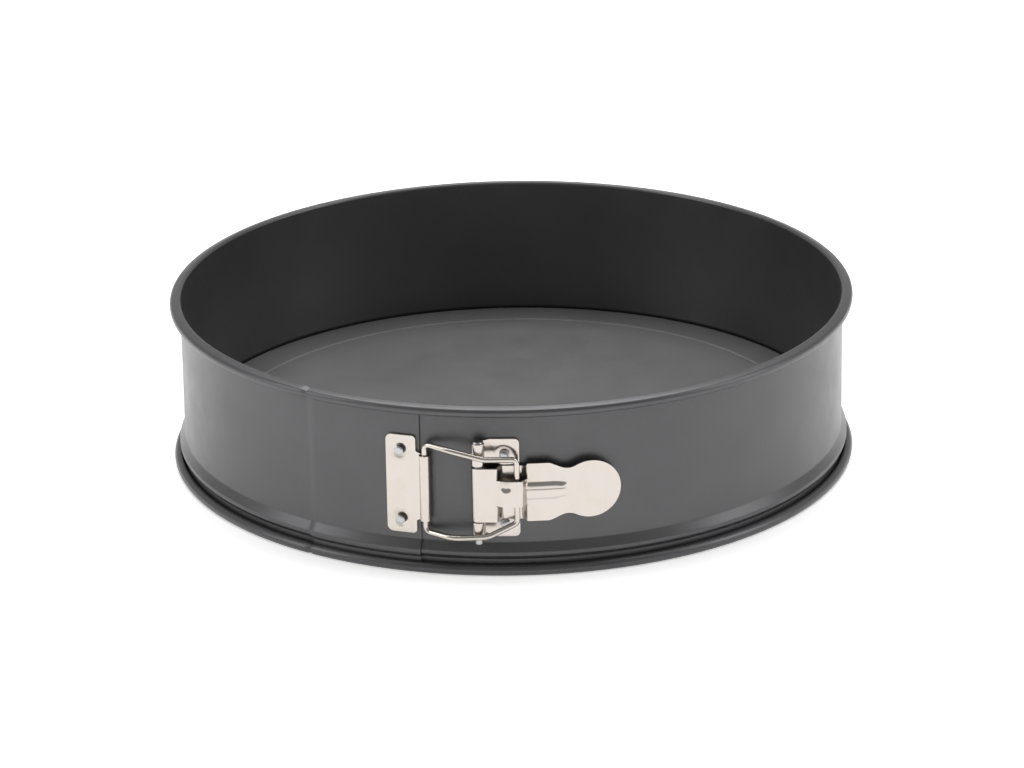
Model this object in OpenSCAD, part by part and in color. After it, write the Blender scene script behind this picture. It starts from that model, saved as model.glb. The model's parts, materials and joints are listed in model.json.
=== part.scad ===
// Springform cake pan: a split spring band round a loose base, closed by a wire-bail lever latch.
// Millimetres. +Z up, pan axis on Z, table at Z = 0, latch at the front (-Y).

/* [Pan] */
// Outside diameter of the plain wall
pan_d = 280; // [230:1:340]
// Height over the rolled rim
pan_h = 72.6; // [66:0.1:90]
// Thickness of the band sheet
band_t = 0.5; // [0.4:0.05:0.5]

/* [Rolled rims] */
// Outside diameter of the top curl
top_curl_d = 5.0; // [4.8:0.1:5.6]
// Outside diameter of the bottom curl
low_curl_d = 4.4; // [4.3:0.1:4.6]
// Gap kept between the two nested layers of band
nest_gap = 0.25; // [0.15:0.05:0.25]

/* [Base groove] */
// Height at which the wall starts to bulge outwards
crease_z = 15.5; // [15:0.1:16]
// How far the groove stands out of the wall
groove_depth = 2.2; // [1.9:0.1:2.4]
// How far the neck under the groove stands out of the wall
neck_step = 0.76; // [0.7:0.02:0.9]

/* [Overlap] */
// Distance round the wall from the front to the end of the inner layer
inner_end = 85.5; // [75:0.5:100]
// Bare strip between the latch tube and the end of the outer layer
seam_gap = 0.33; // [0.3:0.05:0.8]

/* [Base] */
// Thickness of the base sheet
base_t = 0.8; // [0.6:0.05:1]
// Top of the base beside the wall
base_z = 12.3; // [12:0.1:12.6]
// Radial play of the base edge in the groove
base_play = 0.4; // [0.3:0.05:0.5]
// Radius of the raised centre panel
panel_r = 121; // [60:1:121]
// Rise of the centre panel
panel_rise = 0.6; // [0.3:0.1:1]

/* [Latch] */
// Thickness of the plates riveted to the band
plate_t = 1.0; // [0.8:0.05:1]
// Bottom of the latch plates
plate_z = 16.3; // [16.2:0.1:16.8]
// Height of the latch plates
plate_h = 41.8; // [41.5:0.1:43]
// Diameter of the bail wire
wire_d = 2.35; // [2.2:0.05:2.4]
// Running clearance round the wire in its tube
wire_fit = 0.06; // [0.04:0.01:0.08]
// Diameter of the hinge pin
pin_d = 3.5; // [3:0.1:3.5]
// Running clearance of the lever on the pin
pin_fit = 0.05; // [0.03:0.01:0.08]
// Outside diameter of the hinge knuckles
knuckle_d = 5.5; // [5.2:0.1:5.6]
// Diameter of the rivet heads
rivet_d = 3.9; // [3:0.1:4.5]
// Room between the lever's flanks and the wire leg lying on them
leg_clear = 1.6; // [1.4:0.05:1.8]
// Room between the wire leg and the strap over it
strap_clear = 0.975; // [0.9:0.05:1.4]

/* [Lever] */
// Thickness of the lever sheet
lever_t = 0.9; // [0.8:0.05:0.9]
// Height of the lever blade
blade_h = 24.6; // [22:0.2:25]
// Radius of the thumb end
thumb_r = 12; // [10:0.5:13]
// Distance from the wire leg to the middle of the thumb end
thumb_reach = 29; // [27:0.5:36]

/* [Hidden] */
$fn = 96;
eps = 0.01;

// radii
wall_out = pan_d / 2;
wall_in = wall_out - band_t;
layer = band_t + nest_gap;
top_r = top_curl_d / 2;
low_r = low_curl_d / 2;
top_c = [wall_in + top_r, pan_h - top_r];
neck_in = wall_in + neck_step;
foot_cut = 0.1;
low_c = [neck_in + low_r, low_r - foot_cut];
crest_in = wall_in + groove_depth;
crest_hi = 9.4;
crest_lo = 8.2;
neck_z = 6.6;

// the band is divided at these angles so that it can flex
split_front = 45;
split_back = 135;
split_gap = 0.01;

// latch stations: distance round the wall, to the right of the front
catch_s = -35.31;
catch_mid = -45.5;
catch_rivet_s = -45.94;
pin_s = -14.05;
bracket_mid = -4.3;
bracket_rivet_s = -3.81;
leg_s = 0.98;
outer_face = wall_out + layer;
wire_r = wire_d / 2;
tube_r = wire_r + wire_fit + plate_t;
catch_r = outer_face + tube_r - 0.15;
pin_rad = pin_d / 2;
knuckle_r = knuckle_d / 2;
pin_r = wall_out + knuckle_r + 0.85;
seam_s = catch_s - tube_r - seam_gap;

// heights of the latch, measured from the ends of its plates
plate_top = plate_z + plate_h;
mid_z = (plate_z + plate_top) / 2 - 1;
tube_lo = plate_z + 6.5;
tube_hi = plate_top - 7.4;
knuckle_top = [plate_top - 10.1, plate_top + 0.4];
knuckle_low = [plate_z + 1.7, plate_z + 7.4];
lever_lo = knuckle_low[1] + 0.6;
lever_hi = knuckle_top[0] - 1;
strap_z = [mid_z - 4.9, mid_z + 5.9];
rib_z = [mid_z - 2.1, mid_z + 4];
trough_z = [lever_lo + 1.4, lever_hi - 1.3];
rivet_z = [plate_z + 5.5, plate_top - 6.6];
shank_d = 2.4;

// lever radii: leaf beside the knuckle, blade, trough under the wire, strap over it
leaf_in = pin_r + knuckle_r - lever_t - 0.2;
blade_in = wall_out + 3.2;
trough_in = wall_out + plate_t + 0.22;
leg_r = trough_in + lever_t + leg_clear + wire_r;
strap_in = leg_r + wire_r + strap_clear;

coating = [0.30, 0.31, 0.33];
nickel = [0.80, 0.79, 0.76];

// angle of a distance measured round the wall
function arc_a(s) = s / wall_out * 180 / PI;
// point of the plan at an angle right of the front
function plan(a, r) = [r * sin(a), -r * cos(a)];
function unit(v) = v / norm(v);
catch_a = arc_a(catch_s);
pin_a = arc_a(pin_s);
leg_a = arc_a(leg_s);

// a rounded fold at b between a and c: points with the outward normal of each
function fold(a, b, c, rad, n) =
    let (u = unit(a - b), v = unit(c - b), half = acos(u * v) / 2,
         m = unit(u + v), o = b + m * rad / sin(half),
         p = b + u * rad / tan(half), q = b + v * rad / tan(half),
         inside = cross(c - b, a - b) > 0 ? -1 : 1,
         t0 = atan2(p[1] - o[1], p[0] - o[0]),
         t1 = atan2(q[1] - o[1], q[0] - o[0]),
         dt = ((t1 - t0 + 540) % 360) - 180)
    [for (i = [0:n]) let (t = t0 + dt * i / n, d = [cos(t), sin(t)])
        [o + rad * d, d * inside]];

// the outline of a sheet that lies between two offsets of a run of such points
function sheet(run, lo, hi) = concat(
    [for (i = [0:len(run) - 1]) run[i][0] + lo * run[i][1]],
    [for (i = [len(run) - 1:-1:0]) run[i][0] + hi * run[i][1]]);

// inner face of the band from the top curl to the bottom curl
function band_run() =
    let (p0 = [wall_in, top_c[1]], p1 = [wall_in, crease_z], p2 = [crest_in, crest_hi],
         p3 = [crest_in, crest_lo], p4 = [neck_in, neck_z], p5 = [neck_in, low_c[1]])
    concat([[p0, [1, 0]]], fold(p0, p1, p2, 3, 3), fold(p1, p2, p3, 1, 3),
           fold(p2, p3, p4, 0.5, 4), fold(p3, p4, p5, 1.5, 4), [[p5, [1, 0]]]);

// top face of the base from the panel to the edge in the groove
function base_run() =
    let (p0 = [0, base_z + panel_rise], p1 = [panel_r, base_z + panel_rise],
         p2 = [panel_r + 1.6, base_z], p3 = [wall_in + 0.3, base_z],
         p4 = [crest_in - base_play, 8.35])
    concat([[p0, [0, 1]]], fold(p0, p1, p2, 2, 3), fold(p1, p2, p3, 2, 3),
           fold(p2, p3, p4, 1.2, 4), [[p4, unit([p3[1] - p4[1], p4[0] - p3[0]])]]);

module arc_part(a0, a1) {
    rotate([0, 0, a0 - 90])
        rotate_extrude(angle = a1 - a0)
            children();
}

// stands a shape that is drawn in front of the wall at an angle round the pan
module at(a) {
    rotate([0, 0, a])
        children();
}

module ring2(c, r) {
    translate(c)
        difference() {
            circle(r = r);
            circle(r = r - band_t);
        }
}

// k = 0 is the inner layer, k = 1 the layer nested outside it
module band_profile(k) {
    d = k * layer;
    polygon(sheet(band_run(), d, d + band_t));
    difference() {
        ring2(top_c, top_r - d);
        translate([wall_in - 1, top_c[1] - 2 * top_r])
            square([1 + 2 * band_t + d + nest_gap + 0.25, 2 * top_r]);
    }
    difference() {
        ring2(low_c, low_r - d);
        translate([neck_in - 1, low_c[1]])
            square([1 + 2 * band_t + d + nest_gap + 0.25, 2 * low_r]);
        translate([neck_in - 1, -2])
            square([4 * low_r, 2]);
    }
}

// the short step that carries the band out to its outer layer
module joggle_profile() {
    trim = 0.06;
    polygon(sheet(band_run(), trim, layer + band_t - trim));
    difference() {
        translate(top_c)
            circle(r = top_r - trim);
        translate(top_c)
            circle(r = top_r - layer - band_t + trim);
        translate([wall_in - 1, top_c[1] - 2 * top_r])
            square([1 + 2 * band_t + layer, 2 * top_r]);
    }
    difference() {
        translate(low_c)
            circle(r = low_r - trim);
        translate(low_c)
            circle(r = low_r - layer - band_t + trim);
        translate([neck_in - 1, low_c[1]])
            square([1 + 2 * band_t + layer, 2 * low_r]);
        translate([neck_in - 1, -2 + trim])
            square([4 * low_r, 2]);
    }
}

module rivet_hole(a, z) {
    at(a)
        translate([0, -wall_out + 3, z])
            rotate([90, 0, 0])
                cylinder(d = shank_d, h = 8);
}

module band_part(a0, a1) {
    color(coating)
        arc_part(a0 + split_gap, a1 - split_gap)
            band_profile(0);
}

module band_back() {
    band_part(split_back, 360 - split_back);
}

module band_side_left() {
    band_part(-split_back, -split_front);
}

module band_side_right() {
    band_part(split_front, split_back);
}

module band_front_left() {
    step_a = arc_a(-inner_end);
    color(coating)
        difference() {
            union() {
                arc_part(-split_front + split_gap, step_a - 0.8)
                    band_profile(0);
                arc_part(step_a - 0.95, step_a - 0.45)
                    joggle_profile();
                arc_part(step_a - 0.6, arc_a(seam_s))
                    band_profile(1);
            }
            rivet_hole(arc_a(catch_rivet_s), rivet_z[0]);
            rivet_hole(arc_a(catch_rivet_s), rivet_z[1]);
        }
}

module band_front_right() {
    color(coating)
        difference() {
            arc_part(arc_a(-inner_end), split_front - split_gap)
                band_profile(0);
            rivet_hole(arc_a(bracket_rivet_s), rivet_z[0]);
            rivet_hole(arc_a(bracket_rivet_s), rivet_z[1]);
        }
}

module base() {
    color(coating)
        rotate_extrude()
            polygon(sheet(base_run(), 0, -base_t));
}

// upright rounded outline, x to the right and z up
module rounded(x0, x1, z0, z1, r) {
    translate([x0 + r, z0])
        square([x1 - x0 - 2 * r, z1 - z0]);
    translate([x0, z0 + r])
        square([x1 - x0, z1 - z0 - 2 * r]);
    for (x = [x0 + r, x1 - r])
        for (z = [z0 + r, z1 - r])
            translate([x, z])
                circle(r = r);
}

// pushes an outline through the wall from the front
module through() {
    translate([0, -wall_out + 20, 0])
        rotate([90, 0, 0])
            linear_extrude(height = 40)
                children();
}

module shell(a0, a1, r, t, z0, z1) {
    arc_part(a0, a1)
        translate([r, z0])
            square([t, z1 - z0]);
}

module upright(a, r, rad, z0, z1) {
    at(a)
        translate([0, -r, z0])
            cylinder(r = rad, h = z1 - z0);
}

module dimple(a, z, face) {
    at(a)
        translate([0, -face + 0.25, z])
            rotate([90, 0, 0])
                cylinder(d1 = rivet_d + 2.2, d2 = rivet_d + 5, h = 0.5);
}

module catch_plate() {
    color(nickel)
        difference() {
            union() {
                // plate with its narrower tab
                intersection() {
                    shell(arc_a(catch_mid - 9), arc_a(catch_s - 1.17), outer_face, plate_t,
                          plate_z - 1, plate_top + 1);
                    at(arc_a(catch_mid))
                        through()
                            union() {
                                rounded(-6.2, 6.2, plate_z, plate_top, 2.5);
                                translate([0, tube_lo - 0.9])
                                    square([16, tube_hi - tube_lo + 1.8]);
                            }
                }
                upright(catch_a, catch_r, tube_r, tube_lo, tube_hi);
            }
            upright(catch_a, catch_r, wire_r + wire_fit, 0, pan_h);
            for (z = rivet_z) {
                rivet_hole(arc_a(catch_rivet_s), z);
                dimple(arc_a(catch_rivet_s), z, outer_face + plate_t);
            }
        }
}

// a rivet through a plate: head outside, tail inside the band
module rivet(a, z, tail, face, tail_head) {
    color(nickel)
        at(a)
            translate([0, 0, z])
                rotate([90, 0, 0]) {
                    translate([0, 0, tail])
                        cylinder(d = shank_d, h = face - tail);
                    translate([0, 0, face])
                        cylinder(d = rivet_d, h = 0.35);
                    translate([0, 0, face + 0.35])
                        cylinder(d1 = rivet_d, d2 = rivet_d - 1.2, h = 0.45);
                    if (tail_head > 0)
                        translate([0, 0, tail - tail_head])
                            cylinder(d1 = rivet_d - 1.2, d2 = rivet_d - 0.4, h = tail_head);
                }
}

module catch_rivet(z) {
    rivet(arc_a(catch_rivet_s), z, outer_face - band_t + 0.04, outer_face + plate_t - 0.25, 0);
}

module catch_rivet_lower() {
    catch_rivet(rivet_z[0]);
}

module catch_rivet_upper() {
    catch_rivet(rivet_z[1]);
}

module bracket_rivet(z) {
    rivet(arc_a(bracket_rivet_s), z, wall_in - 0.012, wall_out + plate_t - 0.25, 0.4);
}

module bracket_rivet_lower() {
    bracket_rivet(rivet_z[0]);
}

module bracket_rivet_upper() {
    bracket_rivet(rivet_z[1]);
}

module hinge_bracket() {
    color(nickel)
        difference() {
            union() {
                intersection() {
                    shell(arc_a(bracket_mid - 9), arc_a(bracket_mid + 9), wall_out, plate_t,
                          plate_z - 1, plate_top + 1);
                    at(arc_a(bracket_mid))
                        through()
                            rounded(-6.4, 6.4, plate_z, plate_top, 2);
                }
                for (k = [knuckle_low, knuckle_top]) {
                    upright(pin_a, pin_r, knuckle_r, k[0], k[1]);
                    shell(pin_a, arc_a(pin_s + 4.52), wall_out + 0.45, plate_t,
                          k[0], min(k[1], plate_top));
                }
            }
            upright(pin_a, pin_r, pin_rad, 0, pan_h);
            for (z = rivet_z) {
                rivet_hole(arc_a(bracket_rivet_s), z);
                dimple(arc_a(bracket_rivet_s), z, wall_out + plate_t);
            }
        }
}

module hinge_pin() {
    pin_lo = knuckle_low[0] - 2.4;
    color(nickel)
        at(pin_a)
            translate([0, -pin_r, 0]) {
                translate([0, 0, pin_lo])
                    cylinder(r = pin_rad, h = knuckle_top[1] - pin_lo);
                translate([0, 0, pin_lo - 0.4])
                    cylinder(r1 = pin_rad - 0.4, r2 = pin_rad, h = 0.4);
                translate([0, 0, knuckle_top[1]])
                    cylinder(r1 = pin_rad + 0.7, r2 = pin_rad, h = 0.7);
            }
}

// lever sheet that follows a run of stations: distance round the wall and radius
module strip(run, z0, z1) {
    translate([0, 0, z0])
        linear_extrude(height = z1 - z0)
            polygon(concat([for (q = run) plan(arc_a(q[0]), q[1])],
                           [for (i = [len(run) - 1:-1:0])
                               plan(arc_a(run[i][0]), run[i][1] + lever_t)]));
}

module lever() {
    thumb_s = 1.0 + thumb_reach;
    thumb_a = arc_a(thumb_s);
    neck_s = thumb_s - thumb_r + 2;
    shoulder_s = neck_s - 6.2;
    z_hi = mid_z + blade_h / 2;
    z_lo = mid_z - blade_h / 2;
    // foot of the ramps at -7 and 5.2, slot for the wire leg between -4.75 and 3
    leaf = [[-14, leaf_in], [-10.5, leaf_in], [-7, leaf_in]];
    dip = [[-4.75, trough_in], [-0.9, trough_in], [3, trough_in]];
    arch = [[-4.75, strap_in], [-0.9, strap_in], [3, strap_in]];
    heel = [[5.2, blade_in], [8, blade_in]];
    blade = concat(heel, [for (i = [1:14]) [8 + i * 3, blade_in]]);
    color(nickel)
        difference() {
            union() {
                upright(pin_a, pin_r, knuckle_r, lever_lo, lever_hi);
                strip(leaf, lever_lo + 0.3, lever_hi - 0.3);
                // flanks that dip under the wire leg, strap that bridges it
                strip(concat(leaf, dip, heel), trough_z[0], strap_z[0] - 0.3);
                strip(concat(leaf, dip, heel), strap_z[1] + 0.3, trough_z[1]);
                strip(concat(leaf, arch, heel), strap_z[0], strap_z[1]);
                // blade with its neck, then the thumb end
                intersection() {
                    strip(blade, 0, pan_h);
                    at(thumb_a)
                        through()
                            polygon([[-thumb_s, z_lo], [shoulder_s - thumb_s, z_lo],
                                     [neck_s - thumb_s, mid_z - 10],
                                     [-thumb_r * 0.5, mid_z - thumb_r * 0.8], [2, mid_z],
                                     [-thumb_r * 0.5, mid_z + thumb_r * 0.8],
                                     [neck_s - thumb_s, mid_z + 10],
                                     [shoulder_s - thumb_s, z_hi], [-thumb_s, z_hi]]);
                }
                intersection() {
                    strip(blade, 0, pan_h);
                    at(thumb_a)
                        through()
                            translate([0, mid_z])
                                circle(r = thumb_r);
                }
                // stiffening rib
                intersection() {
                    strip([for (i = [0:5]) [4.9 + i * 4, blade_in + 0.5]], rib_z[0], rib_z[1]);
                    at(arc_a(13))
                        through()
                            polygon([[-12, rib_z[0] - 1], [5.6, rib_z[0] - 1], [7.8, rib_z[0] + 2],
                                     [7.8, rib_z[1] - 2], [5.6, rib_z[1] + 1], [-12, rib_z[1] + 1]]);
                }
            }
            upright(pin_a, pin_r, pin_rad + pin_fit, 0, pan_h);
            // hollow side of the rib
            strip([for (i = [0:4]) [6.2 + i * 3.1, blade_in - 0.4]], rib_z[0] + 0.9, rib_z[1] - 0.9);
        }
}

function stop(a, r, z) = [r * sin(a), -r * cos(a), z];
function bend_in(a, b, c, rad) = b + unit(a - b) * rad / tan(acos(unit(a - b) * unit(c - b)) / 2);

// straight wire between two points, let a little way into the bends at both ends
module wire_run(p, q) {
    d = q - p;
    lap = 0.2;
    translate(p - unit(d) * lap)
        rotate([0, acos(d[2] / norm(d)), atan2(d[1], d[0])])
            cylinder(r = wire_r - 0.03, h = norm(d) + 2 * lap);
}

// wire bent at b, between straights that come from a and lead to c
module wire_bend(a, b, c, rad) {
    u = unit(a - b);
    v = unit(c - b);
    half = acos(u * v) / 2;
    o = b + unit(u + v) * rad / sin(half);
    x = unit(b + u * rad / tan(half) - o);
    y = -u;
    w = cross(x, y);
    multmatrix([[x[0], y[0], w[0], o[0]], [x[1], y[1], w[1], o[1]], [x[2], y[2], w[2], o[2]]])
        rotate_extrude(angle = 180 - 2 * half)
            translate([rad, 0])
                circle(r = wire_r);
}

module bail() {
    far = leg_r + 3.055;
    // corner points round the loop with the radius of each bend
    mid_a = arc_a(-10.26);
    out_a = arc_a(-23.70);
    pts = [stop(catch_a, catch_r, plate_top - 4), stop(out_a, far, plate_top - 4.9),
           stop(mid_a, far, plate_top - 5.7), stop(leg_a, leg_r, plate_top - 6.8),
           stop(leg_a, leg_r, plate_z + 7.3), stop(mid_a, far, plate_z + 2.4),
           stop(out_a, far, plate_z + 1.4), stop(catch_a, catch_r, plate_z + 1.7)];
    bends = [2.4, 14, 9, 2.4, 2.4, 9, 14, 2.4];
    n = len(pts);
    color(nickel)
        for (i = [0:n - 1]) {
            a = pts[(i + n - 1) % n];
            b = pts[i];
            c = pts[(i + 1) % n];
            e = pts[(i + 2) % n];
            wire_bend(a, b, c, bends[i]);
            p = bend_in(c, b, a, bends[i]);
            q = bend_in(b, c, e, bends[(i + 1) % n]);
            wire_run(p, q);
        }
}

base();
band_back();
band_side_left();
band_side_right();
band_front_left();
band_front_right();
catch_plate();
catch_rivet_upper();
catch_rivet_lower();
hinge_bracket();
bracket_rivet_upper();
bracket_rivet_lower();
hinge_pin();
lever();
bail();
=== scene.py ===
"""Springform cake pan: coated split band with rolled rims, loose base and nickel plated lever latch."""

import json
import math

import bmesh
import bpy
from bpy.props import FloatProperty, FloatVectorProperty, PointerProperty
from mathutils import Matrix, Vector


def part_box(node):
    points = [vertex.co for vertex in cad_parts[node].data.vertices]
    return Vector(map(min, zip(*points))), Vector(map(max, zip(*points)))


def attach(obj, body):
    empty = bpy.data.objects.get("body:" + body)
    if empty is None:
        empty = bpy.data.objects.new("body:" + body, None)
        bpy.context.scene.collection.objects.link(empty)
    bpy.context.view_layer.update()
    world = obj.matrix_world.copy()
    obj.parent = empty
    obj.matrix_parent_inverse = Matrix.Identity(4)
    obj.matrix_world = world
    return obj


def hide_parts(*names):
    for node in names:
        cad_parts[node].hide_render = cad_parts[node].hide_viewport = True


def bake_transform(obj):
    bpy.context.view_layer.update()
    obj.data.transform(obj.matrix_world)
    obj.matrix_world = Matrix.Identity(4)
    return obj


bl_info = {
    "name": "Springform Pan Builder",
    "version": (1, 0, 0),
    "blender": (4, 5, 0),
    "location": "3D View > Sidebar > Springform",
    "description": "Builds the visible pieces of a springform cake pan round its working frame",
    "category": "Add Mesh",
}

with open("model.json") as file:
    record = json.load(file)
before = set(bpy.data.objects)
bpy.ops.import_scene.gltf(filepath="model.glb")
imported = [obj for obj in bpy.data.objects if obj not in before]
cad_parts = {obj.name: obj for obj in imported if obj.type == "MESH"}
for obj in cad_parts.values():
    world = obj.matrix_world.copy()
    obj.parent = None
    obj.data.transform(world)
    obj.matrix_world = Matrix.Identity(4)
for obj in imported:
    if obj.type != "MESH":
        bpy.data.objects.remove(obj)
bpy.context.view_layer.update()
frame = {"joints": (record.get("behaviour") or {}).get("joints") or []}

MM = 1000.0  # meshes are drawn in millimetres and brought to metres when they are finished
JOINTS = {joint["name"]: joint for joint in frame["joints"]}
PIN = Vector(JOINTS["lever_open"]["pos_m"]) * MM
TUBE = Vector(JOINTS["bail_swing"]["pos_m"]) * MM
BAND_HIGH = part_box("band_back")[1]
BASE_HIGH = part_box("base")[1]
CATCH_LOW, CATCH_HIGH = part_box("catch_plate")
LEVER_LOW, LEVER_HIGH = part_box("lever")
PIN_LOW, PIN_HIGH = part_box("hinge_pin")

# outside radius of the plain wall, in millimetres
WALL = 140.0

# stations of the latch in millimetres, measured round the wall to the right of the front
INNER_END = -85.5
CATCH_MIDDLE, CATCH_HALF = -45.5, 6.2
CATCH_TUBE = -35.31
BRACKET_MIDDLE, BRACKET_HALF = -4.3, 6.4
WIRE_LEG = 0.98
THUMB = 30.0

# millimetres of bare strip between the tube on the catch and the end of the outer layer
SEAM_GAP = 0.33

# radii of the latch in millimetres
TUBE_RADIUS = 2.235
LEG_RADIUS = 144.895
ARM_RADIUS = 147.95
STRAP_RADIUS = 147.92

# the round dishes pressed in about the rivets: depth, radius of the flat and of the rim
DISH = (0.40, 2.1, 4.4)


# ---------------------------------------------------------------- sizes and colours


def length(name, description, default, low=0.0001, high=0.4):
    """A size in metres."""
    return FloatProperty(
        name=name, description=description, default=default, min=low, max=high,
        subtype="DISTANCE", unit="LENGTH", precision=5,
    )


def tint(name, description, default):
    """A colour."""
    return FloatVectorProperty(
        name=name, description=description, default=default, min=0.0, max=1.0,
        size=3, subtype="COLOR",
    )


class SpringformSizes(bpy.types.PropertyGroup):
    """Sizes of the pan and its latch"""

    wall: length("Wall radius", "Outside radius of the plain wall", WALL / MM)
    height: length("Height", "Height over the rolled rim", BAND_HIGH.z)
    sheet: length("Band sheet", "Thickness of the band", 0.0005)
    layer: length("Layer pitch", "Step out to the nested outer layer", 0.00075)
    top_curl: length("Top curl", "Outside radius of the top curl", 0.0025)
    low_curl: length("Bottom curl", "Outside radius of the bottom curl", 0.0022)
    neck: length("Neck step", "Step of the wall out to the bottom curl", 0.00076)
    groove: length("Groove depth", "How far the groove stands out of the wall", 0.0022)
    crease: length("Crease height", "Height at which the groove starts", 0.0131)
    base_sheet: length("Base sheet", "Thickness of the base", 0.0008)
    panel: length("Panel radius", "Radius of the raised centre of the base", 0.121)
    plate: length("Plate", "Thickness of the riveted plates", 0.001)
    lever_sheet: length("Lever sheet", "Thickness of the lever", 0.0009)
    wire: length("Wire radius", "Radius of the bail wire", 0.001175)
    knuckle: length("Knuckle radius", "Outside radius of the rolled knuckles", 0.00275)
    tube: length("Tube radius", "Outside radius of the rolled tube on the catch",
                 TUBE_RADIUS / MM)
    rivet: length("Rivet head", "Radius of the rivet heads", 0.00195)


class SpringformColours(bpy.types.PropertyGroup):
    """Colours of the finishes"""

    band: tint("Band coating", "Dark satin coating of the band", (0.080, 0.079, 0.082))
    base: tint("Base coating", "Dark satin coating of the base", (0.150, 0.147, 0.149))
    nickel: tint("Nickel", "Bright plating of the latch plates", (0.525, 0.484, 0.446))
    wire: tint("Wire plating", "Bright plating of the bail", (0.520, 0.478, 0.432))
    steel: tint("Rivet steel", "Colour of the rivets and the pin", (0.440, 0.445, 0.450))


class Millimetres:
    """The sizes of the scene in millimetres."""

    def __init__(self, context):
        for name in SpringformSizes.__annotations__:
            setattr(self, name, getattr(context.scene.springform_sizes, name) * MM)


# ---------------------------------------------------------------- drawing and shaping


def smooth(t):
    """Eases from 0 to 1."""
    t = min(1.0, max(0.0, t))
    return t * t * (3 - 2 * t)


def ease(x, start, end, low=0.0, high=1.0):
    """Value that eases from low at start to high at end."""
    return low + (high - low) * smooth((x - start) / (end - start))


def round_wall(s, r, z):
    """Point at a distance round the wall to the right of the front, a radius and a height."""
    a = s / WALL
    return Vector((r * math.sin(a), -r * math.cos(a), z))


def azimuth(point):
    """Angle of a point right of the front, in degrees."""
    return math.degrees(math.atan2(point.x, -point.y))


class Run:
    """A run of edges drawn in the XZ plane by extruding and spinning its last vertex."""

    def __init__(self, bm, x, z):
        self.bm = bm
        self.first = self.end = bm.verts.new((x, 0, z))

    def to(self, x, z):
        """Draws a straight edge."""
        target = Vector((x, 0, z))
        if (target - self.end.co).length < 1e-5:
            return self
        new = bmesh.ops.extrude_vert_indiv(self.bm, verts=[self.end])["verts"][0]
        bmesh.ops.translate(self.bm, vec=target - new.co, verts=[new])
        self.end = new
        return self

    def turn(self, cx, cz, degrees, step=6.0):
        """Draws an arc about a centre, anticlockwise with X to the right and Z up."""
        steps = max(1, round(abs(degrees) / step))
        made = bmesh.ops.spin(
            self.bm, geom=[self.end], cent=(cx, 0, cz), axis=(0, -1, 0),
            angle=math.radians(degrees), steps=steps,
        )
        self.end = next(v for v in made["geom_last"] if isinstance(v, bmesh.types.BMVert))
        return self

    def through(self, corners, goal, step=10.0):
        """Draws straights that round each corner (x, z, radius) on the way to the goal."""
        points = [Vector((c[0], c[1])) for c in corners] + [Vector(goal)]
        for n, corner in enumerate(corners):
            here = Vector((self.end.co.x, self.end.co.z))
            back, ahead = (here - points[n]).normalized(), (points[n + 1] - points[n]).normalized()
            half = back.angle(ahead) / 2
            if corner[2] < 1e-6 or half > math.radians(89):
                self.to(*points[n])
                continue
            start = points[n] + back * corner[2] / math.tan(half)
            centre = points[n] + (back + ahead).normalized() * corner[2] / math.sin(half)
            left = back.x * ahead.y - back.y * ahead.x
            self.to(*start)
            self.turn(*centre, (180 - math.degrees(2 * half)) * (-1 if left > 0 else 1), step)
        return self.to(*goal)

    def close(self):
        """Joins the end to the beginning and fills the outline with one face."""
        self.bm.edges.new((self.end, self.first))
        bmesh.ops.remove_doubles(self.bm, verts=self.bm.verts, dist=1e-5)
        bmesh.ops.contextual_create(self.bm, geom=self.bm.edges[:])
        return self


def outline(bm, corners, step=10.0):
    """One flat face with rounded corners (x, z, radius)."""
    first = Vector(corners[0][:2])
    last = Vector(corners[-1][:2])
    middle = (first + last) / 2
    Run(bm, *middle).through(corners, middle, step).close()


def turn_faces(bm, towards):
    """Makes a flat sheet face along Y, towards -1 (outside) or +1 (the wall)."""
    bm.normal_update()
    wrong = [f for f in bm.faces if f.normal.y * towards < 0]
    bmesh.ops.reverse_faces(bm, faces=wrong)


def slices(bm, axis, places):
    """Cuts every face at each place along an axis."""
    normal = Vector((1, 0, 0)) if axis == "x" else Vector((0, 0, 1))
    for place in places:
        bmesh.ops.bisect_plane(
            bm, geom=bm.verts[:] + bm.edges[:] + bm.faces[:], dist=1e-5,
            plane_co=normal * place, plane_no=normal,
        )


def steps_between(low, high, pitch):
    """Evenly spaced places strictly between two ends."""
    count = max(1, round((high - low) / pitch))
    return [low + (high - low) * n / count for n in range(1, count)]


def revolve(bm, start, end, pitch=0.75):
    """Turns the drawn profile round the pan's axis between two azimuths."""
    bmesh.ops.rotate(
        bm, cent=(0, 0, 0), matrix=Matrix.Rotation(math.radians(start - 90), 3, "Z"),
        verts=bm.verts,
    )
    whole = abs(end - start) > 359.9
    bmesh.ops.spin(
        bm, geom=bm.verts[:] + bm.edges[:], cent=(0, 0, 0), axis=(0, 0, 1),
        angle=math.radians(end - start), steps=round((end - start) / pitch), use_merge=whole,
    )
    bmesh.ops.remove_doubles(bm, verts=bm.verts, dist=1e-5)


def lathe(bm, steps):
    """Turns the drawn profile, which ends on the axis at both ends, into a closed solid."""
    bmesh.ops.spin(bm, geom=bm.verts[:] + bm.edges[:], cent=(0, 0, 0), axis=(0, 0, 1),
                   angle=math.tau, steps=steps, use_merge=True)
    bmesh.ops.remove_doubles(bm, verts=bm.verts, dist=1e-4)
    bmesh.ops.recalc_face_normals(bm, faces=bm.faces)


def thicken(bm, thickness):
    """Gives a sheet its thickness, behind the side that its faces look to."""
    bm.normal_update()
    bmesh.ops.solidify(bm, geom=bm.faces[:], thickness=thickness)
    bm.normal_update()


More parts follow.
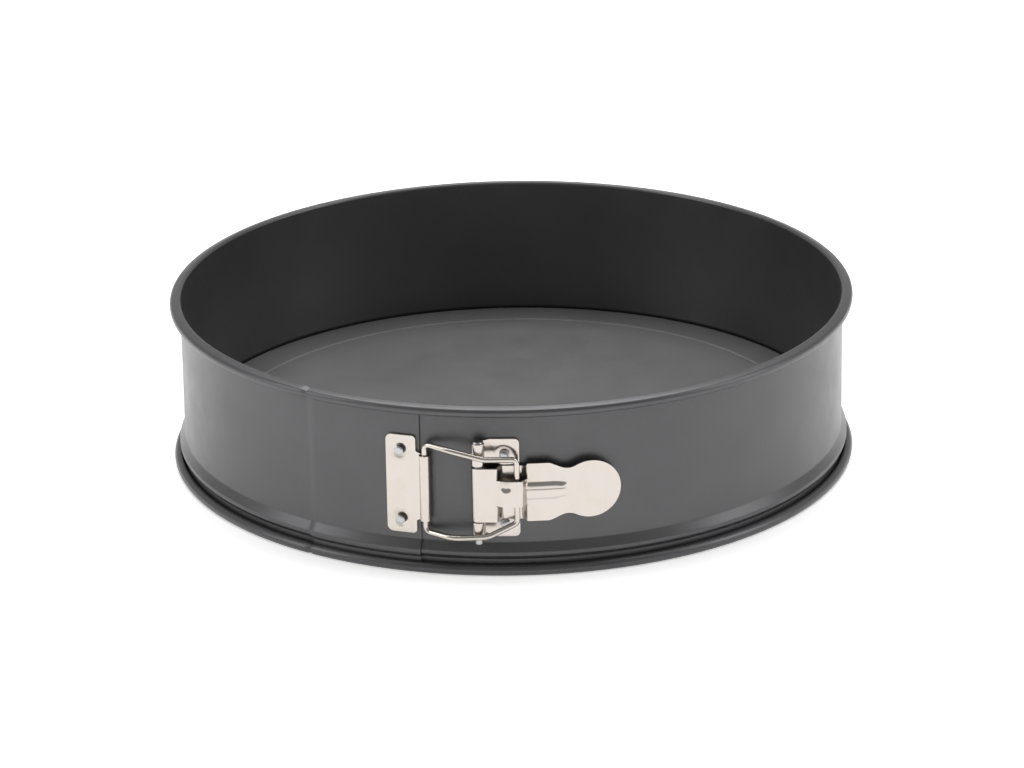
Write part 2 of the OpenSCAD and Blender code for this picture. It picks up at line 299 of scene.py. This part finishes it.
def soften(bm, radius, above=50.0, segments=2):
    """Rounds the sharp edges of a closed mesh."""
    bm.normal_update()
    sharp = [e for e in bm.edges if e.is_manifold and e.calc_face_angle() > math.radians(above)]
    bmesh.ops.bevel(
        bm, geom=sharp, offset=radius, offset_type="OFFSET", affect="EDGES",
        segments=segments, profile=0.5, material=-1, clamp_overlap=True,
    )


def finished(bm, name, material, nodes, sharp=40.0):
    """Brings a mesh to metres, makes its object and hides the parts that it stands for."""
    bmesh.ops.scale(bm, vec=(1 / MM,) * 3, verts=bm.verts)
    mesh = bpy.data.meshes.new(name)
    bm.to_mesh(mesh)
    bm.free()
    mesh.materials.append(material)
    mesh.shade_smooth()
    mesh.set_sharp_from_angle(angle=math.radians(sharp))
    obj = bpy.data.objects.new(name, mesh)
    bpy.context.scene.collection.objects.link(obj)
    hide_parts(*nodes)
    return obj


# ---------------------------------------------------------------- finishes


class Finish:
    """A node material built round one Principled shader."""

    def __init__(self, name, **sockets):
        self.material = bpy.data.materials.new(name)
        self.material.use_nodes = True
        self.tree = self.material.node_tree
        self.shader = self.tree.nodes["Principled BSDF"]
        for socket, value in sockets.items():
            self.shader.inputs[socket.replace("_", " ")].default_value = value
        self.place = self.add("ShaderNodeTexCoord").outputs["Object"]

    def add(self, kind, values=None, **settings):
        node = self.tree.nodes.new(kind)
        for key, value in settings.items():
            setattr(node, key, value)
        for key, value in (values or {}).items():
            if isinstance(value, bpy.types.NodeSocket):
                self.tree.links.new(value, node.inputs[key])
            else:
                node.inputs[key].default_value = value
        return node

    def link(self, output, socket):
        self.tree.links.new(output, self.shader.inputs[socket])

    def noise(self, scale, detail=3.0, rough=0.55, stretch=None, offset=(0, 0, 0)):
        """Noise of a scale per metre, stretched along the axes if wished."""
        place = self.place
        if stretch or any(offset):
            place = self.add(
                "ShaderNodeMapping",
                {"Vector": place, "Scale": stretch or (1, 1, 1), "Location": offset},
            ).outputs[0]
        return self.add(
            "ShaderNodeTexNoise",
            {"Vector": place, "Scale": scale, "Detail": detail, "Roughness": rough},
        ).outputs["Fac"]

    def ranged(self, value, low, high, start=0.3, end=0.7):
        """Maps a value between start and end onto low and high."""
        return self.add(
            "ShaderNodeMapRange",
            {"Value": value, "From Min": start, "From Max": end, "To Min": low, "To Max": high},
        ).outputs[0]

    def mix(self, factor, first, second):
        """Mixes two colours."""
        node = self.add("ShaderNodeMix", data_type="RGBA")
        sockets = (node.inputs[0], node.inputs[6], node.inputs[7])
        for socket, value in zip(sockets, (factor, first, second)):
            if isinstance(value, bpy.types.NodeSocket):
                self.tree.links.new(value, socket)
            else:
                socket.default_value = value
        return node.outputs[2]

    def bump(self, height, strength, distance, under=None):
        """Raises a height on the surface."""
        values = {"Height": height, "Strength": strength, "Distance": distance}
        if under is not None:
            values["Normal"] = under
        return self.add("ShaderNodeBump", values).outputs[0]


def shade(colour, gain):
    """A colour made lighter or darker, with its alpha."""
    return tuple(min(1.0, c * gain) for c in colour) + (1.0,)


def coating(name, colour, rough, metallic, grain):
    """Satin sprayed non-stick coating: fine orange peel, soft cloudiness and fine lighter specks."""
    f = Finish(name, Metallic=metallic, IOR=1.5, Coat_Weight=0.12, Coat_Roughness=0.22)
    clouds = f.noise(22, 4)
    speck = f.noise(2600, 2)
    colour_a = f.mix(f.ranged(clouds, 0, 1), shade(colour, 0.93), shade(colour, 1.07))
    colour_b = f.mix(f.ranged(speck, 0, 1, 0.62, 0.82), colour_a, shade(colour, 1.45))
    f.link(colour_b, "Base Color")
    f.link(f.ranged(f.noise(60, 5, 0.6), rough - 0.035, rough + 0.045), "Roughness")
    peel = f.bump(f.noise(900, 3), grain, 0.00006)
    f.link(f.bump(f.noise(3200, 2), grain * 0.8, 0.00002, peel), "Normal")
    return f.material


def plating(name, colour, rough, lines=(1, 1, 1), stain=0.5):
    """Bright nickel plate: faint yellow clouding, polishing lines, scuffs and soft waviness."""
    f = Finish(name, Metallic=1.0, IOR=1.8)
    haze = f.ranged(f.noise(85, 5, 0.6), 0, stain, 0.52, 0.78)
    tarnish = tuple(c * k for c, k in zip(colour, (0.90, 0.83, 0.70))) + (1.0,)
    colour_a = f.mix(haze, shade(colour, 1.0), tarnish)
    scuff = f.ranged(f.noise(420, 6, 0.7, lines), 0, 0.4, 0.60, 0.80)
    f.link(f.mix(scuff, colour_a, shade(colour, 0.80)), "Base Color")
    f.link(f.ranged(f.noise(260, 6, 0.65, lines), rough - 0.04, rough + 0.10), "Roughness")
    wave = f.bump(f.noise(150, 2), 0.10, 0.0002)
    f.link(f.bump(f.noise(900, 4, 0.6, lines), 0.08, 0.00003, wave), "Normal")
    return f.material


# ---------------------------------------------------------------- the band


def band_profile(bm, s):
    """Inside face of the band, from the edge of the bottom curl up to the edge of the top curl."""
    wall_in = s.wall - s.sheet
    neck = wall_in + s.neck
    crest = wall_in + s.groove
    low_z = s.low_curl - 0.1
    low_x = neck + s.low_curl
    out = wall_in + 2 * s.top_curl
    open_low = math.degrees(math.acos(-0.7 / s.low_curl))
    run = Run(bm, low_x + s.low_curl * math.cos(math.radians(open_low)),
              low_z + s.low_curl * math.sin(math.radians(open_low)))
    run.turn(low_x, low_z, -(open_low + 180), 11.0)
    run.through(
        [(neck, 6.6, 1.5), (crest, 8.2, 0.5), (crest, 9.4, 1.0), (wall_in, s.crease, 2.4),
         (wall_in, s.height, 1.35), (out, s.height - 1.5, 1.75), (out - 0.4, s.height - 4.9, 1.6)],
        (out - 3.3, s.height - 4.7), 8.0,
    )


def band_piece(context, name, start, end, joggle, bend, nodes):
    """One length of the band between two azimuths."""
    s = Millimetres(context)
    bm = bmesh.new()
    band_profile(bm, s)
    revolve(bm, start, end)
    bm.normal_update()
    if joggle:
        for vert in bm.verts:
            out = ease(azimuth(vert.co), joggle[0], joggle[1])
            vert.co -= vert.normal * s.layer * out
    thicken(bm, s.sheet)
    for vert in bm.verts:
        if vert.co.z < 0.02:
            vert.co.z = 0.0
    obj = finished(bm, name, coated("band"), nodes, 50.0)
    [round_wall(math.radians(a) * s.wall, s.wall, 40) / MM for a in bend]
    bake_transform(obj)
    return obj


MATERIALS = {}


def coated(key):
    """The finish of a piece, made once."""
    if key not in MATERIALS:
        c = bpy.context.scene.springform_colours
        MATERIALS[key] = {
            "band": lambda: coating("Satin band coating", c.band, 0.36, 0.60, 0.30),
            "base": lambda: coating("Satin base coating", c.base, 0.42, 0.35, 0.55),
            "nickel": lambda: plating("Nickel plate", c.nickel, 0.17, (1, 1, 0.25)),
            "wire": lambda: plating("Nickel wire", c.wire, 0.16, (0.4, 0.4, 1), 0.3),
            "steel": lambda: plating("Rivet steel", c.steel, 0.26, (1, 1, 1), 0.15),
        }[key]()
    return MATERIALS[key]


# ends of the outer and the inner layer of the overlap, in degrees
SEAM = math.degrees((CATCH_TUBE - TUBE_RADIUS - SEAM_GAP) / WALL)
STEP = math.degrees(INNER_END / WALL)


class SPRINGFORM_OT_band(bpy.types.Operator):
    """Spin the coated band in four lengths"""

    bl_idname = "springform.band"
    bl_label = "Band"

    def execute(self, context):
        band_piece(context, "band_rear_left", -180, -90, None,
                   (-150, -120), ("band_back", "band_side_left"))
        band_piece(context, "band_rear_right", 90, 180, None,
                   (120, 150), ("band_side_right", "band_back"))
        band_piece(context, "band_front_left_length", -90, SEAM, (STEP - 0.95, STEP - 0.45),
                   (-54, -37),
                   ("band_front_left", "band_side_left"))
        band_piece(context, "band_front_right_length", STEP, 90, None,
                   (37, 54),
                   ("band_front_right", "band_side_right"))
        return {"FINISHED"}


# ---------------------------------------------------------------- the base


class SPRINGFORM_OT_base(bpy.types.Operator):
    """Spin the loose base with its raised panel and turned down edge"""

    bl_idname = "springform.base"
    bl_label = "Base"

    def execute(self, context):
        s = Millimetres(context)
        top = BASE_HIGH.z * MM
        rim = top - 0.6
        edge = BASE_HIGH.y * MM
        bm = bmesh.new()
        run = Run(bm, 0, top)
        for x in range(10, 120, 10):
            run.to(x, top)
        run.through(
            [(s.panel, top, 1.2), (s.panel + 1.5, rim - 0.15, 0.7), (s.panel + 3.0, rim + 0.25, 1.2),
             (s.panel + 7.0, rim, 3.0), (s.wall - 0.9, rim, 1.2)],
            (edge, 8.35), 6.0,
        )
        revolve(bm, 0, 360, 1.0)
        bmesh.ops.recalc_face_normals(bm, faces=bm.faces)
        bm.normal_update()
        if sum(f.normal.z for f in bm.faces) < 0:
            bmesh.ops.reverse_faces(bm, faces=bm.faces)
        thicken(bm, s.base_sheet)
        soften(bm, 0.15)
        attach(finished(bm, "pan_base_plate", coated("base"), ["base"]), "pan_base")
        return {"FINISHED"}


# ---------------------------------------------------------------- the latch plates


def rolled(hub, x, start, radius, from_angle, way):
    """Point on a sheet rolled round a hub, for a distance along the sheet past its start."""
    radial = Vector((hub.x, hub.y, 0)).normalized()
    across = Vector((-radial.y, radial.x, 0))
    a = math.radians(from_angle) + way * abs(x - start) / radius
    return Vector((hub.x, hub.y, 0)) + across * radius * math.cos(a) + radial * radius * math.sin(a)


def dish(x, z, centre, depth, flat, rim):
    """Depth of a round dish at a point."""
    return depth * (1 - ease(math.hypot(x - centre[0], z - centre[1]), flat, rim))


def dishes(x, z, spots):
    """Depth of the dishes about a plate's rivets at a point."""
    return sum(dish(x, z, spot, *DISH) for spot in spots)


def wrapped(bm, place):
    """Moves each vertex of a flat sheet to where place(x, z) puts it."""
    for vert in bm.verts:
        vert.co = place(vert.co.x, vert.co.z)


HUB_PIN = math.radians(azimuth(PIN)) * WALL
HUB_TUBE = math.radians(azimuth(TUBE)) * WALL
RIVETS = {name: (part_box(name)[0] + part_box(name)[1]) * MM / 2
          for name in ("catch_rivet_upper", "catch_rivet_lower",
                       "bracket_rivet_upper", "bracket_rivet_lower")}


def rivet_spots(side):
    """Distance round the wall and height of a plate's two rivets."""
    return [(math.radians(azimuth(p)) * WALL, p.z) for n, p in RIVETS.items() if n.startswith(side)]


class SPRINGFORM_OT_catch_plate(bpy.types.Operator):
    """Cut, roll and dish the plate that holds the bail"""

    bl_idname = "springform.catch_plate"
    bl_label = "Catch plate"

    def execute(self, context):
        s = Millimetres(context)
        low, high = CATCH_LOW.z * MM, CATCH_HIGH.z * MM
        inner = s.wall + s.layer
        left, right = CATCH_MIDDLE - CATCH_HALF, CATCH_MIDDLE + CATCH_HALF
        tube_low, tube_high = low + 6.5, high - 7.4
        end = HUB_TUBE + math.radians(291) * s.tube
        bm = bmesh.new()
        outline(bm, [
            (right, low, 1.6), (right, tube_low - 0.9, 0.8), (HUB_TUBE - 2.0, tube_low, 1.0),
            (end, tube_low, 0.3), (end, tube_high, 0.3), (HUB_TUBE - 2.0, tube_high, 1.0),
            (right, tube_high + 0.9, 0.8), (right, high, 1.6), (left, high, 2.5), (left, low, 2.5),
        ], 12)
        turn_faces(bm, 1)
        slices(bm, "x", steps_between(left, right, 0.55) + steps_between(right, end, 0.40))
        slices(bm, "z", steps_between(low, high, 0.60))
        spots = rivet_spots("catch")

        def place(x, z):
            if x > HUB_TUBE:
                point = rolled(TUBE, x, HUB_TUBE, s.tube, -90, 1)
                return Vector((point.x, point.y, z))
            r = ease(x, right - 0.4, HUB_TUBE, inner, Vector(TUBE.xy).length - s.tube)
            r -= dishes(x, z, spots)
            across = 1 - ease(abs(x - (left + right) / 2), 0, CATCH_HALF)
            r += 0.10 * across * ease(abs(z - (low + high) / 2), 20, 6)
            return round_wall(x, r, z)

        wrapped(bm, place)
        thicken(bm, s.plate)
        soften(bm, 0.16)
        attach(finished(bm, "catch_plate_rolled", coated("nickel"),
                         ["catch_plate"]), "ring_front_left")
        return {"FINISHED"}


class SPRINGFORM_OT_hinge_bracket(bpy.types.Operator):
    """Cut, roll and dish the plate whose knuckles hold the hinge pin"""

    bl_idname = "springform.hinge_bracket"
    bl_label = "Hinge bracket"

    def execute(self, context):
        s = Millimetres(context)
        low, high = CATCH_LOW.z * MM, CATCH_HIGH.z * MM
        left, right = BRACKET_MIDDLE - BRACKET_HALF, BRACKET_MIDDLE + BRACKET_HALF
        end = HUB_PIN - math.radians(296) * s.knuckle
        lower = (low + 1.7, low + 7.4)
        upper = (high - 10.1, high)
        bm = bmesh.new()
        outline(bm, [
            (right, low, 2.0), (right, high, 2.0), (left + 1.2, high, 1.2),
            (left - 0.6, high - 0.4, 1.0),
            (end, upper[1] - 0.9, 0.4), (end, upper[0], 0.4), (left, upper[0], 0.5),
            (left, lower[1], 0.5), (end, lower[1], 0.4), (end, lower[0], 0.4),
            (left, lower[0], 0.5), (left, low, 0.9),
        ], 12)
        turn_faces(bm, 1)
        slices(bm, "x", steps_between(left, right, 0.55) + steps_between(end, left, 0.45))
        slices(bm, "z", steps_between(low, high, 0.60))
        spots = rivet_spots("bracket")
        foot = Vector(PIN.xy).length - s.knuckle

        def place(x, z):
            if x < HUB_PIN:
                point = rolled(PIN, x, HUB_PIN, s.knuckle, -90, -1)
                return Vector((point.x, point.y, z))
            r = ease(x, HUB_PIN, HUB_PIN + 4.6, foot, s.wall + 0.02)
            r -= dishes(x, z, spots) * ease(x, left, left + 1)
            return round_wall(x, r, z)

        wrapped(bm, place)
        thicken(bm, s.plate)
        soften(bm, 0.16)
        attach(finished(bm, "hinge_bracket_rolled", coated("nickel"),
                         ["hinge_bracket"]), "ring_front_right")
        return {"FINISHED"}


# ---------------------------------------------------------------- pins and rivets


class SPRINGFORM_OT_rivets(bpy.types.Operator):
    """Spin the four rivets that hold the latch plates"""

    bl_idname = "springform.rivets"
    bl_label = "Rivets"

    def execute(self, context):
        s = Millimetres(context)
        for name, spot in RIVETS.items():
            side = "ring_front_left" if name.startswith("catch") else "ring_front_right"
            ends = [math.hypot(c.x, c.y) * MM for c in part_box(name)]
            face, tail = max(ends) - 0.80, min(ends)
            tail = max(tail, s.wall - s.sheet - 0.35)
            bm = bmesh.new()
            run = Run(bm, 0, tail)
            run.through([(s.rivet * 0.52, tail, 0.25), (s.rivet * 0.60, tail + 0.4, 0.1),
                         (s.rivet * 0.58, face - 0.05, 0.05), (s.rivet, face - 0.05, 0.12),
                         (s.rivet, face + 0.22, 0.18), (s.rivet * 0.72, face + 0.50, 0.35)],
                        (0, face + 0.55), 12)
            lathe(bm, 40)
            out = Vector((spot.x, spot.y, 0)).normalized()
            bmesh.ops.rotate(bm, cent=(0, 0, 0), verts=bm.verts,
                             matrix=out.to_track_quat("Z", "Y").to_matrix())
            bmesh.ops.translate(bm, vec=(0, 0, spot.z), verts=bm.verts)
            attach(finished(bm, name + "_domed", coated("steel"), [name], 30), side)
        return {"FINISHED"}


class SPRINGFORM_OT_hinge_pin(bpy.types.Operator):
    """Spin the hinge pin with its peened head and rounded end"""

    bl_idname = "springform.hinge_pin"
    bl_label = "Hinge pin"

    def execute(self, context):
        low, high = PIN_LOW.z * MM, PIN_HIGH.z * MM
        bm = bmesh.new()
        Run(bm, 0, low - 1.3).through(
            [(1.71, low - 1.3, 0.7), (1.71, high - 1.85, 0.05), (2.3, high - 1.8, 0.1),
             (1.8, high - 1.1, 0.35)],
            (0, high - 0.95), 12)
        lathe(bm, 48)
        bmesh.ops.translate(bm, vec=(PIN.x, PIN.y, 0), verts=bm.verts)
        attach(finished(bm, "hinge_pin_peened", coated("steel"), ["hinge_pin"], 30),
                "ring_front_right")
        return {"FINISHED"}


# ---------------------------------------------------------------- the lever


class SPRINGFORM_OT_lever(bpy.types.Operator):
    """Cut the lever's sheet, slit it, and press its knuckle, strap, flanks and rib"""

    bl_idname = "springform.lever"
    bl_label = "Lever"

    def execute(self, context):
        s = Millimetres(context)
        mid = PIN.z
        t = s.lever_sheet
        low, high = LEVER_LOW.z * MM, LEVER_HIGH.z * MM
        leaf_low, leaf_high = low + 0.4, high - 1.5
        end = HUB_PIN - math.radians(300) * s.knuckle
        strap_low, strap_high = mid - 4.9, mid + 5.9
        reach, head = THUMB, 12.0
        bm = bmesh.new()
        run = Run(bm, reach + head, mid)
        run.turn(reach, mid, 118, 4)
        run.through([(21.2, mid + 8.9, 6.5), (13.8, high, 3.5), (5.2, high, 0.6), (4.2, leaf_high, 0.4),
                     (end, leaf_high, 0.3), (end, leaf_low, 0.3), (4.4, leaf_low, 0.4),
                     (5.2, low, 0.6), (13.8, low, 3.5), (21.2, mid - 8.9, 6.5)],
                    (reach + head * math.cos(math.radians(118)),
                     mid - head * math.sin(math.radians(118))), 8)
        run.turn(reach, mid, 118, 4)
        run.close()
        turn_faces(bm, -1)
        cuts = (-7.0, 5.3)
        slits = (strap_low - 0.3, strap_low, strap_high, strap_high + 0.3)
        slices(bm, "x", cuts)
        slices(bm, "z", slits)
        middle = lambda f: f.calc_center_median()
        gone = [f for f in bm.faces if cuts[0] < middle(f).x < cuts[1]
                and (slits[0] < middle(f).z < slits[1] or slits[2] < middle(f).z < slits[3])]
        bmesh.ops.delete(bm, geom=gone, context="FACES")
        slices(bm, "x", steps_between(end, HUB_PIN, 0.45) + steps_between(HUB_PIN, -7.2, 0.5)
               + steps_between(-7.2, 5.5, 0.28) + steps_between(5.5, reach + head, 0.5))
        slices(bm, "z", steps_between(low, high, 0.36))
        top = Vector(PIN.xy).length + s.knuckle
        leaf = top - 0.2
        blade = s.wall + 3.2 + t
        arch = STRAP_RADIUS
        trough = s.wall + s.plate + 0.22 + t

        def place(x, z):
            if x < HUB_PIN:
                point = rolled(PIN, x, HUB_PIN, s.knuckle, 90, 1)
                return Vector((point.x, point.y, z))
            r = ease(x, HUB_PIN, HUB_PIN + 3.5, top, leaf)
            if strap_low - 0.01 < z < strap_high + 0.01:
                crown = arch - 0.20 * ((z - (strap_low + strap_high) / 2) / 5.4) ** 2
                r = ease(x, -7.0, -3.6, r, crown)
                r = ease(x, 2.6, 5.3, r, blade)
                r -= dish(x, z, (-3.2, strap_high - 2.2), 0.80, 0.6, 2.7)
            else:
                r = ease(x, -7.0, -4.4, r, trough)
                r = ease(x, 2.9, 5.3, r, blade)
            rib = ease(x, 2.8, 6.0) * (1 - ease(x, 18.6, 21.0))
            tip = 0.55 * ease(x, 15.0, 21.0)
            ridge = ease(z, mid + 0.8, mid + 1.9) * (1 - ease(z, mid + 3.1 - tip, mid + 4.4 - tip))
            skirt = ease(z, mid - 3.2 + 1.8 * tip, mid - 2.4 + 1.8 * tip)
            skirt *= 1 - ease(z, mid + 1.6, mid + 4.2)
            r += rib * (0.80 * ridge + 0.30 * skirt)
            return round_wall(x, r, z)

        wrapped(bm, place)
        thicken(bm, t)
        soften(bm, 0.14, 55)
        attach(finished(bm, "latch_lever_pressed", coated("nickel"), ["lever"]),
                "latch_lever")
        return {"FINISHED"}


# ---------------------------------------------------------------- the bail


class SPRINGFORM_OT_bail(bpy.types.Operator):
    """Sweep the wire of the bail round its loop"""

    bl_idname = "springform.bail"
    bl_label = "Bail"

    def execute(self, context):
        s = Millimetres(context)
        low, high = CATCH_LOW.z * MM, CATCH_HIGH.z * MM
        hub = Vector(TUBE.xy).length
        leg, far = LEG_RADIUS, ARM_RADIUS
        corners = [
            (round_wall(HUB_TUBE, hub, high - 2.5), 2.6),
            (round_wall(-23.70, far - 0.6, high - 3.4), 14),
            (round_wall(-11.4, far, high - 6.3), 9),
            (round_wall(WIRE_LEG, leg, high - 7.4), 2.4),
            (round_wall(WIRE_LEG, leg, low + 7.3), 2.4),
            (round_wall(-10.26, far, low + 2.4), 9),
            (round_wall(-23.70, far, low + 1.4), 14),
            (round_wall(HUB_TUBE, hub, low + 1.7), 2.4),
        ]
        stations = []
        for n, (point, radius) in enumerate(corners):
            back = (corners[n - 1][0] - point).normalized()
            ahead = (corners[(n + 1) % 8][0] - point).normalized()
            half = back.angle(ahead) / 2
            centre = point + (back + ahead).normalized() * radius / math.sin(half)
            start = point + back * radius / math.tan(half) - centre
            axis = start.cross(-back).normalized()
            sweep = math.pi - 2 * half
            count = max(5, round(math.degrees(sweep) / 7))
            for k in range(count + 1):
                stations.append(centre + Matrix.Rotation(sweep * k / count, 3, axis) @ start)
        loop = []
        for n, point in enumerate(stations):
            after = stations[(n + 1) % len(stations)]
            count = max(1, round((after - point).length / 1.5))
            loop += [point.lerp(after, k / count) for k in range(count)]
        size = len(loop)
        heading = [(loop[(n + 1) % size] - loop[n - 1]).normalized() for n in range(size)]
        bm = bmesh.new()
        made = bmesh.ops.create_circle(bm, segments=20, radius=s.wire)
        bmesh.ops.rotate(bm, cent=(0, 0, 0), verts=made["verts"],
                         matrix=heading[0].to_track_quat("Z", "Y").to_matrix())
        bmesh.ops.translate(bm, vec=loop[0], verts=made["verts"])
        ring = first = bm.edges[:]
        for n in range(1, size):
            grown = bmesh.ops.extrude_edge_only(bm, edges=ring)["geom"]
            verts = [g for g in grown if isinstance(g, bmesh.types.BMVert)]
            ring = [g for g in grown if isinstance(g, bmesh.types.BMEdge)]
            tilt = heading[n - 1].rotation_difference(heading[n]).to_matrix()
            bmesh.ops.rotate(bm, cent=loop[n - 1], matrix=tilt, verts=verts)
            bmesh.ops.translate(bm, vec=loop[n] - loop[n - 1], verts=verts)
        bmesh.ops.bridge_loops(bm, edges=first + ring)
        bmesh.ops.recalc_face_normals(bm, faces=bm.faces)
        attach(finished(bm, "latch_bail_wire", coated("wire"), ["bail"]), "latch_bail")
        return {"FINISHED"}


# ---------------------------------------------------------------- floor, light and camera


def softbox(name, spot, aim, width, height, power, colour=(1, 1, 1)):
    """A soft rectangular light that looks at a point."""
    light = bpy.data.lights.new(name, "AREA")
    light.shape = "RECTANGLE"
    light.size, light.size_y = width, height
    light.energy = power
    light.color = colour
    obj = bpy.data.objects.new(name, light)
    look = (Vector(aim) - Vector(spot)).to_track_quat("-Z", "Y").to_matrix().to_4x4()
    obj.matrix_world = Matrix.Translation(spot) @ look
    bpy.context.scene.collection.objects.link(obj)


class SPRINGFORM_OT_stage(bpy.types.Operator):
    """Lay the pale floor and set the soft lights and the camera"""

    bl_idname = "springform.stage"
    bl_label = "Stage"

    def execute(self, context):
        scene = context.scene
        scene.view_settings.view_transform = "Standard"
        f = Finish("Pale sweep", Roughness=0.85, Specular_IOR_Level=0.2,
                   Emission_Color=(1, 1, 1, 1), Emission_Strength=0.40)
        pale, paler = (0.90, 0.90, 0.90, 1), (0.93, 0.93, 0.93, 1)
        f.link(f.mix(f.ranged(f.noise(1.5, 2), 0, 1), pale, paler), "Base Color")
        f.link(f.bump(f.noise(300, 2), 0.02, 0.0002), "Normal")
        bm = bmesh.new()
        bmesh.ops.create_grid(bm, x_segments=8, y_segments=8, size=9.0)
        mesh = bpy.data.meshes.new("floor")
        bm.to_mesh(mesh)
        bm.free()
        mesh.materials.append(f.material)
        floor = bpy.data.objects.new("floor", mesh)
        scene.collection.objects.link(floor)

        world = bpy.data.worlds.new("Studio")
        world.use_nodes = True
        tree = world.node_tree
        tree.nodes["Background"].inputs["Color"].default_value = (1.0, 1.0, 1.0, 1)
        way = tree.nodes.new("ShaderNodeTexCoord").outputs["Generated"]
        parts = tree.nodes.new("ShaderNodeSeparateXYZ")
        tree.links.new(way, parts.inputs[0])

        def ramp(value, start, end, low, high):
            """Eases the sky's strength with one part of its direction."""
            node = tree.nodes.new("ShaderNodeMapRange")
            node.interpolation_type = "SMOOTHSTEP"
            tree.links.new(value, node.inputs["Value"])
            limits = {"From Min": start, "From Max": end, "To Min": low, "To Max": high}
            for key, number in limits.items():
                node.inputs[key].default_value = number
            return node.outputs[0]

        behind = ramp(parts.outputs["Y"], -0.45, 0.15, 0.34, 0.52)
        horizon = ramp(parts.outputs["Z"], 0.04, 0.22, 0.8, 0.0)
        level = tree.nodes.new("ShaderNodeMath")
        level.operation = "MAXIMUM"
        tree.links.new(behind, level.inputs[0])
        tree.links.new(horizon, level.inputs[1])
        tree.links.new(level.outputs[0], tree.nodes["Background"].inputs["Strength"])
        scene.world = world
        softbox("Overhead box", (0.0, 0.45, 1.7), (0, 0, 0), 1.7, 1.1, 26)
        softbox("Left box", (-1.6, -0.5, 0.9), (0, 0, 0.03), 0.8, 1.2, 9)
        softbox("Right box", (1.6, -0.3, 0.9), (0, 0, 0.03), 0.8, 1.2, 9)

        tilt, roll = math.radians(20.73), 0.017
        ahead = Vector((0, math.cos(tilt), -math.sin(tilt)))
        up = Vector((0, math.sin(tilt), math.cos(tilt)))
        side = Vector((1, 0, 0))
        across = math.cos(roll) * side - math.sin(roll) * up
        above = math.sin(roll) * side + math.cos(roll) * up
        camera = bpy.data.cameras.new("Camera")
        camera.lens = 173.88
        camera.sensor_width = 36
        camera.shift_x, camera.shift_y = -0.00052, -0.0045
        camera.clip_end = 60
        obj = bpy.data.objects.new("Camera", camera)
        turn = Matrix((across, above, -ahead)).transposed().to_4x4()
        obj.matrix_world = Matrix.Translation(Vector((0, 0, 0.03)) - 2.1079 * ahead) @ turn
        scene.collection.objects.link(obj)
        scene.camera = obj
        return {"FINISHED"}


# ---------------------------------------------------------------- panel and registration


PIECES = (
    SPRINGFORM_OT_stage, SPRINGFORM_OT_band, SPRINGFORM_OT_base, SPRINGFORM_OT_catch_plate,
    SPRINGFORM_OT_hinge_bracket, SPRINGFORM_OT_rivets, SPRINGFORM_OT_hinge_pin,
    SPRINGFORM_OT_lever, SPRINGFORM_OT_bail,
)


class SPRINGFORM_PT_panel(bpy.types.Panel):
    """Builders, sizes and colours of the springform pan"""

    bl_idname = "SPRINGFORM_PT_panel"
    bl_label = "Springform Pan"
    bl_space_type = "VIEW_3D"
    bl_region_type = "UI"
    bl_category = "Springform"

    def draw(self, context):
        column = self.layout.column(align=True)
        for piece in PIECES:
            column.operator(piece.bl_idname)
        for label, group in (("Sizes", context.scene.springform_sizes),
                             ("Colours", context.scene.springform_colours)):
            box = self.layout.box()
            box.label(text=label)
            for name in type(group).__annotations__:
                box.prop(group, name)


CLASSES = (SpringformSizes, SpringformColours) + PIECES + (SPRINGFORM_PT_panel,)


def register():
    for cls in CLASSES:
        bpy.utils.register_class(cls)
    bpy.types.Scene.springform_sizes = PointerProperty(type=SpringformSizes)
    bpy.types.Scene.springform_colours = PointerProperty(type=SpringformColours)


def unregister():
    del bpy.types.Scene.springform_colours
    del bpy.types.Scene.springform_sizes
    for cls in reversed(CLASSES):
        bpy.utils.unregister_class(cls)


def main():
    register()
    for piece in PIECES:
        group, name = piece.bl_idname.split(".")
        getattr(getattr(bpy.ops, group), name)()


if __name__ == "__main__":
    main()
